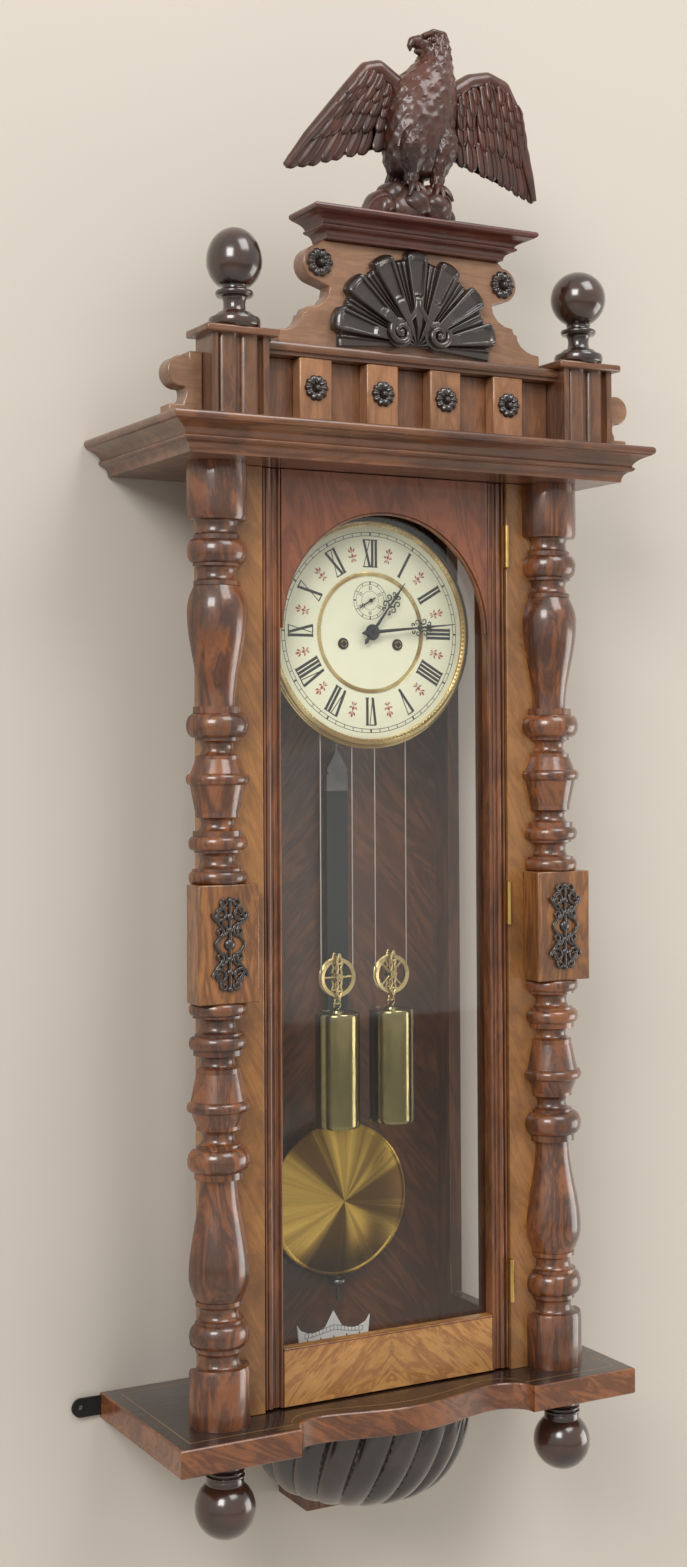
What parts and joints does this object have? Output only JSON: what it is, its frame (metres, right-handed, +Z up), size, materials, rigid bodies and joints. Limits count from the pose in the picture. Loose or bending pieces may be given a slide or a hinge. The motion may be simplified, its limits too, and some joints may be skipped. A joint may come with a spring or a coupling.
{
  "type": "pendulum wall clock",
  "caption": "Tall wall clock case with a hinged glazed door, turned half columns, a crested top with a carved eagle, brass weights on lines and a swinging pendulum.",
  "frame": {"origin": "centre of the round hole of the keyhole hanger plate, on the wall plane at the back", "axes": "+X to the right seen from the front, +Y into the wall, +Z up; the front faces -Y"},
  "size_m": [0.5, 0.2, 1.294],
  "materials": {
    "dark_walnut": "varnished",
    "pale_veneer": "varnished",
    "turned_walnut": "high gloss varnish",
    "red_walnut": "varnished",
    "black_gloss": "black gloss lacquer",
    "carved_brown": "waxed",
    "iron": "black",
    "clear_glass": "clear",
    "brass": "lacquered",
    "enamel": "fired enamel",
    "blued_steel": "blackened",
    "steel": "polished",
    "ebonised_rod": "ebonised"
  },
  "bodies": {
    "case": {"back_board": "dark_walnut", "hanger_plate": "iron", "case_boards": "dark_walnut", "case_sides": "dark_walnut", "side_glasses": "clear_glass", "front_boards": "pale_veneer", "cornice": "dark_walnut", "columns": "turned_walnut", "column_blocks": "pale_veneer", "block_ornaments": "black_gloss", "shelf": "dark_walnut", "gadroon_boss": "black_gloss", "corbel_block": "dark_walnut", "drop_finials": "black_gloss", "steady_brackets": "iron", "frieze_board": "pale_veneer", "frieze_blocks": "pale_veneer", "frieze_rail": "dark_walnut", "rosettes": "black_gloss", "pedestals": "pale_veneer", "pedestal_caps": "dark_walnut", "ball_finials": "turned_walnut", "side_ears": "pale_veneer", "crest_board": "pale_veneer", "crest_shell": "black_gloss", "crest_cap": "red_walnut", "eagle_body": "carved_brown", "eagle_wing_left": "carved_brown", "eagle_wing_right": "carved_brown", "movement_frame": "brass", "movement_bracket": "iron", "suspension_bracket": "brass", "dial_plate": "enamel", "dial_rings": "brass", "gong": "blued_steel", "beat_scale": "enamel", "time_line": "steel", "strike_line": "steel"},
    "door": {"door_stiles": "dark_walnut", "door_top_panel": "red_walnut", "door_bottom_rail": "pale_veneer", "door_glass": "clear_glass", "door_hinges": "brass"},
    "minute_arbor": {"minute_hand": "blued_steel", "centre_wheel": "brass"},
    "hour_pipe": {"hour_hand": "blued_steel"},
    "escape_arbor": {"seconds_hand": "blued_steel", "escape_wheel": "brass"},
    "time_drum": {"time_barrel": "brass"},
    "strike_drum": {"strike_barrel": "brass"},
    "anchor_arbor": {"anchor": "steel"},
    "hammer_arbor": {"hammer": "steel"},
    "time_drive_weight": {"time_weight": "brass", "time_stirrup": "brass"},
    "strike_drive_weight": {"strike_weight": "brass", "strike_stirrup": "brass"},
    "time_sheave": {"time_pulley": "brass"},
    "strike_sheave": {"strike_pulley": "brass"},
    "pendulum": {"pendulum_rod": "ebonised_rod", "pendulum_bob": "brass"}
  },
  "joints": [
    {"name": "door_swing", "type": "hinge", "parent": "case", "child": "door", "pos_m": [0.1225, -0.1245, -0.3], "axis": [0, 0, 1], "range_deg": [0, 100]},
    {"name": "minute_turn", "type": "hinge", "parent": "case", "child": "minute_arbor", "pos_m": [0, -0.09, -0.1], "axis": [0, 1, 0], "continuous": true},
    {"name": "hour_turn", "type": "hinge", "parent": "case", "child": "hour_pipe", "pos_m": [0, -0.09, -0.1], "axis": [0, 1, 0], "continuous": true},
    {"name": "seconds_turn", "type": "hinge", "parent": "case", "child": "escape_arbor", "pos_m": [0, -0.07, -0.0715], "axis": [0, 1, 0], "continuous": true},
    {"name": "pendulum_swing", "type": "hinge", "parent": "case", "child": "pendulum", "pos_m": [0, -0.0235, -0.054], "axis": [0, 1, 0], "range_deg": [-2.5, 2.5]},
    {"name": "anchor_rock", "type": "hinge", "parent": "case", "child": "anchor_arbor", "pos_m": [0, -0.0235, -0.054], "axis": [0, 1, 0], "range_deg": [-2.6, 2.6]},
    {"name": "hammer_strike", "type": "hinge", "parent": "case", "child": "hammer_arbor", "pos_m": [0.038, -0.06, -0.064], "axis": [0, 1, 0], "range_deg": [-14, 2]},
    {"name": "time_weight_travel", "type": "slide", "parent": "case", "child": "time_drive_weight", "axis": [0, 0, 1], "range_m": [-0.18, 0.14], "deforming": ["time_line"]},
    {"name": "time_drum_turn", "type": "hinge", "parent": "case", "child": "time_drum", "pos_m": [0.0277, -0.07, -0.1105], "axis": [0, 1, 0], "continuous": true},
    {"name": "time_sheave_turn", "type": "hinge", "parent": "time_drive_weight", "child": "time_sheave", "pos_m": [0.0277, -0.075, -0.406], "axis": [0, 1, 0], "continuous": true},
    {"name": "strike_weight_travel", "type": "slide", "parent": "case", "child": "strike_drive_weight", "axis": [0, 0, 1], "range_m": [-0.18, 0.14], "deforming": ["strike_line"]},
    {"name": "strike_drum_turn", "type": "hinge", "parent": "case", "child": "strike_drum", "pos_m": [-0.0277, -0.07, -0.1105], "axis": [0, 1, 0], "continuous": true},
    {"name": "strike_sheave_turn", "type": "hinge", "parent": "strike_drive_weight", "child": "strike_sheave", "pos_m": [-0.0277, -0.075, -0.406], "axis": [0, 1, 0], "continuous": true}
  ],
  "couplings": [
    {"joint": "hour_turn", "follows": "minute_turn", "ratio": 0.083333},
    {"joint": "seconds_turn", "follows": "minute_turn", "ratio": 60},
    {"joint": "anchor_rock", "follows": "pendulum_swing", "ratio": 1},
    {"joint": "time_drum_turn", "follows": "time_weight_travel", "rad_per_m": 125},
    {"joint": "time_sheave_turn", "follows": "time_weight_travel", "rad_per_m": 62.5},
    {"joint": "strike_drum_turn", "follows": "strike_weight_travel", "rad_per_m": 125},
    {"joint": "strike_sheave_turn", "follows": "strike_weight_travel", "rad_per_m": 62.5}
  ]
}
